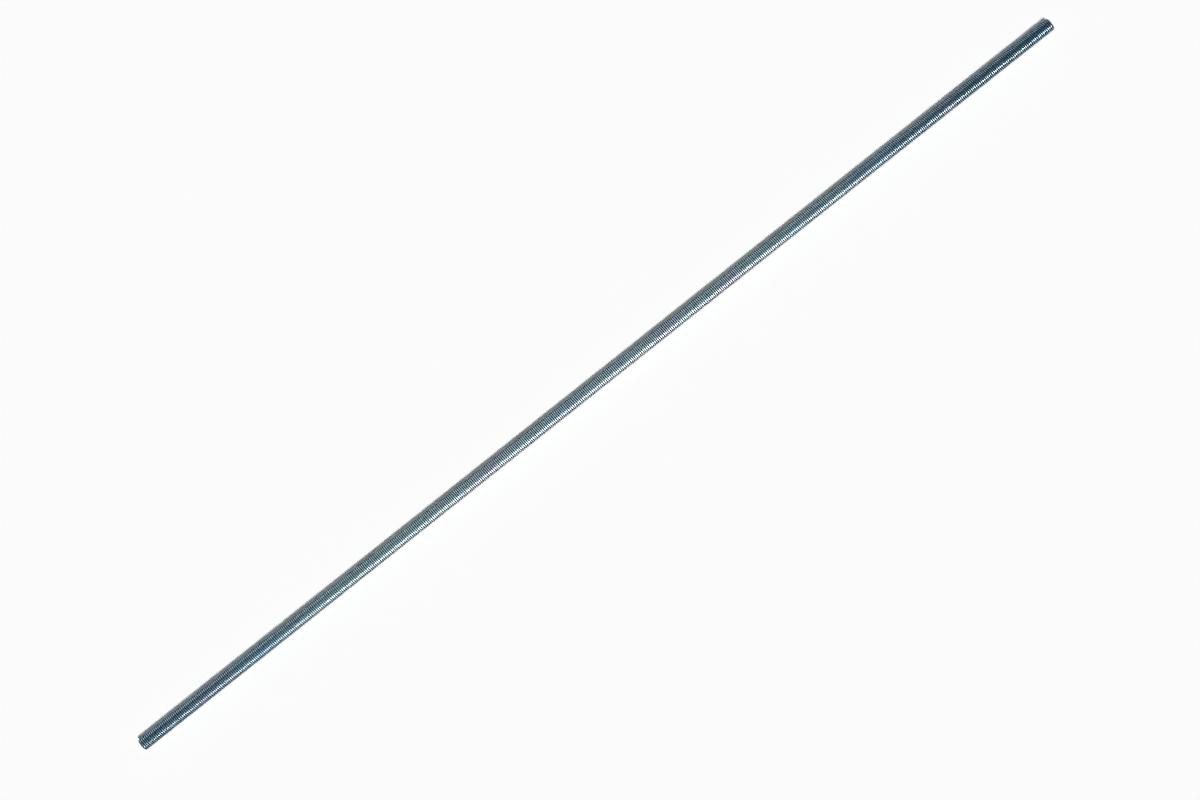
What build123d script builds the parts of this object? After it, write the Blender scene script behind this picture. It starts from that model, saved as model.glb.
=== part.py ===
from build123d import *
import os

# A one metre threaded rod, M12 x 1.75: one steel bar that is threaded from end to end.
# The bar lies along X, with its middle on the origin and +Z up. Sizes are in millimetres.
# The solid is the envelope of the thread: its long wall is the surface that the crests
# lie on, which is what holes, washers and clips meet.

# Driving dimensions
length = 1000.0  # from one end face to the other
major_diameter = 12.0  # over the crests of the thread
pitch = 1.75  # from one crest to the next
depth_per_pitch = 0.61343  # depth of an ISO metric external thread, as a share of its pitch
rim_inset = 0.15  # from the root of the thread in to the rim of each end face

# Sizes that follow from them
thread_depth = depth_per_pitch * pitch
bevel = thread_depth + rim_inset

with BuildPart() as threaded_rod:
    # The bar, drawn as its round section and pulled out both ways from the middle
    with BuildSketch(Plane.YZ):
        Circle(major_diameter / 2)
    extrude(amount=length / 2, both=True)

    # Both ends are bevelled at 45 degrees to just under the root, so that a nut starts easily
    end_rims = threaded_rod.edges().filter_by(GeomType.CIRCLE)
    chamfer(end_rims, length=bevel)

threaded_rod.part.label = "threaded_rod"

os.makedirs("parts", exist_ok=True)
export_step(threaded_rod.part, "parts/threaded_rod.step")
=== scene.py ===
import math

import bmesh
import bpy
from mathutils import Euler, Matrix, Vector
import numpy as np


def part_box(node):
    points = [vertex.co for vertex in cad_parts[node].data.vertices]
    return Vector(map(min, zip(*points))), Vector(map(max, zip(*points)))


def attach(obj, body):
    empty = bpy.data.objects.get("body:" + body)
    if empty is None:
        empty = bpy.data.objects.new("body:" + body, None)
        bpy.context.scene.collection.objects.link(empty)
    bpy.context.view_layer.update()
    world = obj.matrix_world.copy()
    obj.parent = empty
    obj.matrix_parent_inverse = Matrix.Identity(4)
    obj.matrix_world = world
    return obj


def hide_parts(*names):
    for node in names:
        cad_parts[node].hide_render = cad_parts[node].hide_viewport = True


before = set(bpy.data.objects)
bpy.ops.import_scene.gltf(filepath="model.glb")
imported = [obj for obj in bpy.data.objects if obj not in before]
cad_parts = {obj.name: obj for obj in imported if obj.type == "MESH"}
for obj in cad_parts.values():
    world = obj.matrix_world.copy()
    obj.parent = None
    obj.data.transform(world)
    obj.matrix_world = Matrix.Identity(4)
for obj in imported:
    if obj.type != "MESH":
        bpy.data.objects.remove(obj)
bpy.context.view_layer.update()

# The rod is rebuilt with its real M12 x 1.75 thread, inside the CAD node's own box.
# Lengths are in metres. The rod lies along X, and +Z is up, towards the camera.

ROD = "threaded_rod"
rod_low, rod_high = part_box(ROD)
rod_length = rod_high.x - rod_low.x
rod_radius = (rod_high.y - rod_low.y) / 2

# The thread, by the ISO metric profile, with the broad crests of a rolled thread
pitch = 0.00175
flank_angle = math.radians(30)  # between each flank and the plane across the rod
depth_per_pitch = 0.61343
crest_shortfall = 0.000025  # how far the crests lie inside the nominal radius
crest_radius = rod_radius - crest_shortfall
crest_half_width = pitch * 0.09
root_tangent_at = pitch * 0.39  # from the middle of a crest to where the root's arc begins
flank_depth = (root_tangent_at - crest_half_width) / math.tan(flank_angle)
root_depth = depth_per_pitch * pitch
root_radius = crest_radius - root_depth
thread_phase = math.radians(288.0)  # turns the thread about the rod
segments_per_turn = 32
spare_turns = 2  # made past each end of the rod, and cut off

# The bevel at each end
rim_inset = 0.00015  # from the root of the thread in to the rim of the end face
bevel = root_depth + rim_inset
envelope_segments = 96

# Edges
sharp_from = math.radians(35.0)  # a fold of more than this is a crisp edge
root_slack = 1.001  # a point within this many root radii of the axis is at the root
end_slack = 0.000001  # a point nearer than this to an end face is on it

# The zinc plating, in linear colour
crest_colour = (0.50, 0.56, 0.60, 1)
# painted shade: the grooves are coloured near black for the shade that falls in them
painted_groove_shade = (0.035, 0.05, 0.065, 1)
edge_tint = (0.36, 0.42, 0.45, 1)  # of metal that is seen at a flat angle
crest_band_from = 0.75  # share of the thread's depth, from the root, below which the painted shade of the grooves is full; above it the shade fades out towards the crest
crest_roughness = 0.3
groove_roughness = 0.42
roughness_swing = 0.04  # how far the fine grain moves the roughness, up and down

# The passivate: patches of tint from blue to rose, each with its place in the noise; and painted
# shade towards the ends
passivate_tints = [
    (0.32, (0.72, 0.88, 1.00)),
    (0.44, (0.90, 0.94, 0.95)),
    (0.50, (0.86, 0.99, 0.92)),
    (0.57, (0.92, 0.94, 0.93)),
    (0.66, (0.97, 0.88, 0.95)),
]
patches_per_metre = (22.0, 70.0, 70.0)
painted_end_shade = (0.79, 0.905, 1.0, 1)  # painted shade: the metal is darker and bluer towards both ends
plain_to = 0.2  # share of the rod's length from the middle at which that painted shade starts
blue_from = 0.42  # and at which it is full

# The sawn end faces and the turned bevels
cut_colour = (0.38, 0.41, 0.43, 1)
cut_roughness = 0.42
saw_mark = 0.0004  # about the distance between two saw marks on an end face
saw_streaks_per_metre = 150.0  # along a saw mark
turning_mark = 0.00012  # about the distance between two marks on a bevel
skin = 0.00002  # how close to a cut surface still counts as on it

# Fine relief, as bump
relief_strength = 0.25
relief_depth = 0.00002
grain_per_metre = 2600.0
rolling_marks_per_metre = (9000.0, 350.0, 350.0)
cut_relief = 4.0  # how much deeper than the grain the marks on cut metal are
saw_relief = 3.0  # how much deeper than turning marks saw marks are

# The photograph's frame, in pixels, and the camera
photo_width = 1200
photo_centre = Vector((600.0, 400.0))
rod_centre_px = Vector((596.3, 384.35))
rod_length_px = 1162.7
rod_angle = math.radians(38.44)  # above the photograph's horizontal, towards the upper right
camera_distance = 2.3
camera_reach = 20
sensor_width = 36.0  # in millimetres, as Blender takes it

# The studio
paper_colour = (0.99, 0.98, 0.968, 1)
room_colour = (0.062, 0.075, 0.083, 1)
wall_glow = 0.96
floor_radius = 7.0
wall_height = 2.4
wall_sides = 96
cool = (0.82, 0.96, 1.0)
blue = (0.5, 0.82, 1.0)


def make_object(name, mesh):
    piece = bpy.data.objects.new(name, mesh)
    bpy.context.scene.collection.objects.link(piece)
    return piece


def thread_mesh():
    """The thread as one closed mesh, with its spare turns past each end of the rod.

    Each step along the helix holds the five corners of the profile. The strip after the fifth
    corner closes on the first corner of the next turn.
    """
    profile = [
        (-crest_half_width, crest_radius),
        (crest_half_width, crest_radius),
        (root_tangent_at, crest_radius - flank_depth),
        (pitch / 2, root_radius),
        (pitch - root_tangent_at, crest_radius - flank_depth),
    ]
    corners = len(profile)
    turns = math.ceil(rod_length / pitch) + 2 * spare_turns
    steps = turns * segments_per_turn
    start = -turns * pitch / 2

    step = np.arange(steps + 1)
    angle = 2 * math.pi * step / segments_per_turn
    advance = start + pitch * step / segments_per_turn
    points = np.empty((steps + 1, corners, 3))
    for corner, (along, radius) in enumerate(profile):
        points[:, corner, 0] = advance + along
        points[:, corner, 1] = radius * np.cos(angle + thread_phase)
        points[:, corner, 2] = radius * np.sin(angle + thread_phase)

    def vertex(step_index, corner):
        if corner == corners:
            return (step_index + segments_per_turn) * corners
        return step_index * corners + corner

    faces = []
    for k in range(steps):
        for corner in range(corners):
            if corner == corners - 1 and k + 1 + segments_per_turn > steps:
                continue
            faces.append(
                (
                    vertex(k, corner),
                    vertex(k + 1, corner),
                    vertex(k + 1, corner + 1),
                    vertex(k, corner + 1),
                )
            )

    # Both open ends are closed by a fan round a point on the axis
    near_hub = (steps + 1) * corners
    far_hub = near_hub + 1
    hubs = np.array([[start - pitch, 0, 0], [-start + pitch, 0, 0]])
    near_rim = [vertex(k, 0) for k in range(segments_per_turn + 1)]
    near_rim += [vertex(0, corner) for corner in range(corners - 1, 0, -1)]
    far_rim = [vertex(k, corners - 1) for k in range(steps - segments_per_turn, steps + 1)]
    far_rim += [vertex(steps, corner) for corner in range(corners - 2, -1, -1)]
    for a, b in zip(near_rim, near_rim[1:] + near_rim[:1]):
        faces.append((b, a, near_hub))
    for a, b in zip(far_rim, far_rim[1:] + far_rim[:1]):
        faces.append((a, b, far_hub))

    mesh = bpy.data.meshes.new("rod_thread")
    mesh.from_pydata(np.vstack([points.reshape(-1, 3), hubs]).tolist(), [], faces)
    mesh.validate()
    return mesh


def add_ring(form, radius, sides, place):
    """A ring of points. The function place turns a point of the circle into one in space."""
    ring = []
    for k in range(sides):
        angle = 2 * math.pi * k / sides
        ring.append(form.verts.new(place(radius * math.cos(angle), radius * math.sin(angle))))
    return ring


def envelope_mesh():
    """The bevelled bar that the thread is cut to, turned about the X axis."""
    half = rod_length / 2
    outline = [
        (-half, rod_radius - bevel),
        (-half + bevel, rod_radius),
        (half - bevel, rod_radius),
        (half, rod_radius - bevel),
    ]
    form = bmesh.new()
    rings = []
    for along, radius in outline:
        rings.append(add_ring(form, radius, envelope_segments, lambda u, v: (along, u, v)))
    for ring, following in zip(rings, rings[1:]):
        for k in range(envelope_segments):
            n = (k + 1) % envelope_segments
            form.faces.new((ring[k], ring[n], following[n], following[k]))
    form.faces.new(rings[0][::-1])
    form.faces.new(rings[-1])
    bmesh.ops.recalc_face_normals(form, faces=form.faces)
    mesh = bpy.data.meshes.new("rod_envelope")
    form.to_mesh(mesh)
    form.free()
    return mesh


def mark_sharp_edges(mesh):
    """Smooth shading, with the crests' edges and the cut ends kept crisp and the roots round."""
    form = bmesh.new()
    form.from_mesh(mesh)
    for face in form.faces:
        face.smooth = True
    for edge in form.edges:
        at_root = all(math.hypot(v.co.y, v.co.z) < root_radius * root_slack for v in edge.verts)
        inside = all(abs(v.co.x) < rod_length / 2 - end_slack for v in edge.verts)
        folded = edge.calc_face_angle(0) > sharp_from
        edge.smooth = not folded or (at_root and inside)
    form.to_mesh(mesh)
    form.free()


def build_rod():
    """The thread, cut to the rod's length and bevelled by the envelope."""
    rod = make_object("rod_with_thread", thread_mesh())
    envelope = make_object("rod_envelope", envelope_mesh())
    cut = rod.modifiers.new("cut_to_length", "BOOLEAN")
    cut.operation = "INTERSECT"
    cut.solver = "MANIFOLD"
    cut.object = envelope
    depsgraph = bpy.context.evaluated_depsgraph_get()
    finished = bpy.data.meshes.new_from_object(rod.evaluated_get(depsgraph))
    rod.modifiers.clear()
    rod.data = finished
    rod.data.name = "rod_with_thread"
    bpy.data.objects.remove(envelope)
    mark_sharp_edges(finished)
    return rod


def add_camera():
    data = bpy.data.cameras.new("camera")
    data.sensor_fit = "HORIZONTAL"
    data.sensor_width = sensor_width
    # The far edge of each end face, seen from above, is what marks the rod's ends
    rim_height = rod_radius - bevel
    seen_length = rod_length * camera_distance / (camera_distance - rim_height)
    px_per_metre = rod_length_px / seen_length
    data.lens = data.sensor_width * camera_distance * px_per_metre / photo_width
    camera = bpy.data.objects.new("camera", data)
    bpy.context.scene.collection.objects.link(camera)
    right = Vector((math.cos(rod_angle), -math.sin(rod_angle), 0))
    up = Vector((math.sin(rod_angle), math.cos(rod_angle), 0))
    shift = (photo_centre - rod_centre_px) / px_per_metre
    camera.location = right * shift.x - up * shift.y + Vector((0, 0, camera_distance))
    camera.rotation_euler = Euler((0, 0, -rod_angle))
    camera.data.clip_end = camera_reach
    bpy.context.scene.camera = camera


def connect(tree, value, socket):
    """Gives an input a value, or links it where the value is another node's output."""
    if isinstance(value, bpy.types.NodeSocket):
        tree.links.new(value, socket)
    else:
        socket.default_value = value


def add_node(tree, kind, inputs=None, **settings):
    """Adds a shader node. An input is a socket to link from, or a value."""
    made = tree.nodes.new(kind)
    for name, value in settings.items():
        setattr(made, name, value)
    for key, value in (inputs or {}).items():
        connect(tree, value, made.inputs[key])
    return made


def calculate(tree, operation, a, b=None):
    inputs = {0: a} if b is None else {0: a, 1: b}
    return add_node(tree, "ShaderNodeMath", inputs, operation=operation).outputs[0]


def noise(tree, place, scale, detail, roughness=0.55):
    made = add_node(
        tree,
        "ShaderNodeTexNoise",
        {"Vector": place, "Scale": scale, "Detail": detail, "Roughness": roughness},
    )
    return made.outputs["Fac"]


def stretched(tree, place, factors):
    made = add_node(tree, "ShaderNodeVectorMath", {0: place, 1: factors}, operation="MULTIPLY")
    return made.outputs[0]


def remap(tree, value, low, high, to_low=0.0, to_high=1.0, smooth=False):
    made = add_node(
        tree,
        "ShaderNodeMapRange",
        {"Value": value, "From Min": low, "From Max": high, "To Min": to_low, "To Max": to_high},
        interpolation_type="SMOOTHSTEP" if smooth else "LINEAR",
    )
    return made.outputs["Result"]


def mix_colour(tree, factor, a, b, blend="MIX"):
    inputs = {0: factor, 6: a, 7: b}
    made = add_node(tree, "ShaderNodeMix", data_type="RGBA", blend_type=blend, inputs=inputs)
    return made.outputs[2]


def mix_value(tree, factor, a, b):
    inputs = {0: factor, 2: a, 3: b}
    return add_node(tree, "ShaderNodeMix", data_type="FLOAT", inputs=inputs).outputs[0]


def passivate_and_end_shade(tree, place, from_middle):
    """The tint that the clear passivate gives the metal in patches, with painted shade that makes it
    darker and bluer towards the ends.
    """
    patches = noise(tree, stretched(tree, place, patches_per_metre), 1.0, detail=3.0)
    tint = add_node(tree, "ShaderNodeValToRGB", {0: patches})
    ramp = tint.color_ramp
    ramp.elements[0].position = passivate_tints[0][0]
    ramp.elements[1].position = passivate_tints[-1][0]
    for position, _ in passivate_tints[1:-1]:
        ramp.elements.new(position)
    for element, (_, colour) in zip(ramp.elements, passivate_tints):
        element.color = (*colour, 1)
    plain = tint.outputs["Color"]
    # painted shade: darker and bluer towards the ends
    at_end = mix_colour(tree, 1.0, plain, painted_end_shade, "MULTIPLY")
    bluer = remap(tree, from_middle, plain_to * rod_length, blue_from * rod_length, smooth=True)
    return mix_colour(tree, bluer, plain, at_end)


def zinc_plating():
    """Bright zinc over a rolled thread: pale crests, and duller grooves darkened with painted shade.
    """
    material = bpy.data.materials.new("zinc_plating")
    material.use_nodes = True
    tree = material.node_tree
    shader = tree.nodes["Principled BSDF"]
    shader.inputs["Metallic"].default_value = 1
    shader.inputs["Specular Tint"].default_value = edge_tint

    # Where a point lies: its distance from the axis, from the middle and from the nearer end
    place = add_node(tree, "ShaderNodeTexCoord").outputs["Object"]
    parts = add_node(tree, "ShaderNodeSeparateXYZ", {0: place}).outputs
    across = add_node(tree, "ShaderNodeCombineXYZ", {"Y": parts["Y"], "Z": parts["Z"]}).outputs[0]
    radius = add_node(tree, "ShaderNodeVectorMath", {0: across}, operation="LENGTH").outputs["Value"]
    from_middle = calculate(tree, "ABSOLUTE", parts["X"])
    to_end = calculate(tree, "SUBTRACT", rod_length / 2, from_middle)

    # The thread, by its height above the root, with painted shade in the grooves
    crest_band_radius = crest_radius - (1 - crest_band_from) * root_depth
    height = remap(tree, radius, crest_band_radius, crest_radius, smooth=True)
    metal = mix_colour(tree, height, painted_groove_shade, crest_colour)
    metal = mix_colour(tree, 1.0, metal, passivate_and_end_shade(tree, place, from_middle), "MULTIPLY")
    grain = noise(tree, place, grain_per_metre, detail=2.0)
    rolled = noise(tree, stretched(tree, place, rolling_marks_per_metre), 1.0, detail=2.0)
    dull = remap(tree, height, 0.0, 1.0, groove_roughness, crest_roughness)
    uneven = remap(tree, grain, 0.3, 0.7, -roughness_swing, roughness_swing)
    thread_roughness = calculate(tree, "ADD", dull, uneven)
    thread_relief = calculate(tree, "ADD", grain, rolled)

    # The sawn end faces and the turned bevels round them
    on_face = calculate(tree, "LESS_THAN", to_end, skin)
    bevel_radius = calculate(tree, "ADD", to_end, rod_radius - bevel - skin)
    on_bevel = calculate(tree, "GREATER_THAN", radius, bevel_radius)
    is_cut = calculate(tree, "MAXIMUM", on_face, on_bevel)
    along_marks = stretched(tree, place, (0.0, saw_streaks_per_metre, 1 / saw_mark))
    saw_marks = calculate(tree, "MULTIPLY", noise(tree, along_marks, 1.0, detail=2.0), saw_relief)
    rings = add_node(tree, "ShaderNodeCombineXYZ", {"X": radius}).outputs[0]
    turned_marks = noise(tree, rings, 1 / turning_mark, detail=1.0)
    cut_marks = mix_value(tree, on_face, turned_marks, saw_marks)
    deeper_marks = calculate(tree, "MULTIPLY", cut_marks, cut_relief)

    # The cut metal takes the thread's place where the rod is cut
    colour = mix_colour(tree, is_cut, metal, cut_colour)
    roughness = mix_value(tree, is_cut, thread_roughness, cut_roughness)
    relief = mix_value(tree, is_cut, thread_relief, deeper_marks)
    bump = add_node(
        tree,
        "ShaderNodeBump",
        {"Height": relief, "Strength": relief_strength, "Distance": relief_depth},
    )
    tree.links.new(colour, shader.inputs["Base Color"])
    tree.links.new(roughness, shader.inputs["Roughness"])
    tree.links.new(bump.outputs["Normal"], shader.inputs["Normal"])
    return material


def white_paper():
    material = bpy.data.materials.new("white_paper")
    material.use_nodes = True
    shader = material.node_tree.nodes["Principled BSDF"]
    shader.inputs["Base Color"].default_value = paper_colour
    shader.inputs["Roughness"].default_value = 1
    shader.inputs["Specular IOR Level"].default_value = 0
    return material


def white_wall():
    """A wall that the camera and the metal see, and that neither lights nor shades the floor."""
    material = bpy.data.materials.new("white_wall")
    material.use_nodes = True
    tree = material.node_tree
    tree.nodes.clear()
    rays = add_node(tree, "ShaderNodeLightPath").outputs
    seen = calculate(tree, "MAXIMUM", rays["Is Camera Ray"], rays["Is Glossy Ray"])
    glow = add_node(tree, "ShaderNodeEmission", {"Color": (1, 1, 1, 1), "Strength": wall_glow})
    clear = add_node(tree, "ShaderNodeBsdfTransparent")
    mixed = add_node(tree, "ShaderNodeMixShader", {0: seen, 1: clear.outputs[0], 2: glow.outputs[0]})
    add_node(tree, "ShaderNodeOutputMaterial", {"Surface": mixed.outputs[0]})
    return material


def add_stage(height):
    """A white floor at the given height, and a white wall far round it."""
    form = bmesh.new()
    foot = add_ring(form, floor_radius, wall_sides, lambda u, v: (u, v, height))
    top = add_ring(form, floor_radius, wall_sides, lambda u, v: (u, v, height + wall_height))
    form.faces.new(foot).material_index = 0
    for k in range(wall_sides):
        n = (k + 1) % wall_sides
        form.faces.new((foot[n], foot[k], top[k], top[n])).material_index = 1
    mesh = bpy.data.meshes.new("studio_floor")
    form.to_mesh(mesh)
    form.free()
    mesh.materials.append(white_paper())
    mesh.materials.append(white_wall())
    stage = make_object("studio_floor", mesh)


def add_lamp(name, kind, tilt, distance, x=0.0):
    """A lamp aimed square at the rod's axis, tilted from the vertical towards -Y in degrees."""
    data = bpy.data.lights.new(name, kind)
    lamp = bpy.data.objects.new(name, data)
    bpy.context.scene.collection.objects.link(lamp)
    angle = math.radians(tilt)
    lamp.location = Vector((x, -distance * math.sin(angle), distance * math.cos(angle)))
    direction = Vector((x, 0, 0)) - lamp.location
    lamp.rotation_euler = direction.to_track_quat("-Z", "Y").to_euler()
    return lamp


def add_softbox(name, tilt, distance, along, across, radiance, x=0.0, colour=(1, 1, 1)):
    """A soft box that only the metal mirrors, with its side named along parallel to the rod."""
    lamp = add_lamp(name, "AREA", tilt, distance, x)
    lamp.data.shape = "RECTANGLE"
    lamp.data.size = along
    lamp.data.size_y = across
    lamp.data.energy = radiance * math.pi * along * across
    lamp.data.color = colour
    lamp.visible_diffuse = False
    lamp.visible_camera = False


def add_floor_light(name, tilt, strength, spread):
    """A far lamp for the floor and the rod's shadow, with its spread in degrees."""
    lamp = add_lamp(name, "SUN", tilt, 3.0)
    lamp.data.energy = strength
    lamp.data.angle = math.radians(spread)
    lamp.visible_glossy = False


def add_lights():
    add_floor_light("overhead_light", 22, 2.68, 5)
    add_floor_light("second_light", -6, 0.38, 6)
    add_softbox("key_strip", 49, 1.2, 1.36, 0.28, 19.0, x=-0.1)
    add_softbox("key_strip_right", 45, 1.2, 0.52, 0.2, 34.0, x=0.84)
    add_softbox("key_softbox", 62, 1.25, 1.1, 0.8, 4.2, x=-0.05)
    add_softbox("key_low", 80, 1.2, 0.9, 0.5, 3.0, x=-0.08)
    add_softbox("fill_softbox", -58, 1.2, 1.0, 1.2, 2.4, x=0.02, colour=cool)
    add_softbox("fill_left", -70, 1.2, 0.55, 0.8, 2.6, x=-0.76, colour=cool)
    add_softbox("fill_right", -69, 1.2, 0.5, 0.25, 3.0, x=0.78, colour=cool)
    add_softbox("top_softbox", 5, 2.5, 1.1, 3.4, 2.4, x=-0.1, colour=cool)
    add_softbox("ceiling_bounce", 10, 2.6, 2.9, 2.8, 0.9, x=-0.62, colour=blue)


def add_world():
    world = bpy.data.worlds.new("studio")
    bpy.context.scene.world = world
    world.use_nodes = True
    background = world.node_tree.nodes["Background"]
    background.inputs["Color"].default_value = room_colour
    background.inputs["Strength"].default_value = 1


bpy.context.scene.view_settings.view_transform = "Standard"

rod = build_rod()
rod.data.materials.clear()
rod.data.materials.append(zinc_plating())
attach(rod, "root")
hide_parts(ROD)

lowest = min(v.co.z for v in rod.data.vertices)
add_stage(lowest)
add_lights()
add_world()
add_camera()
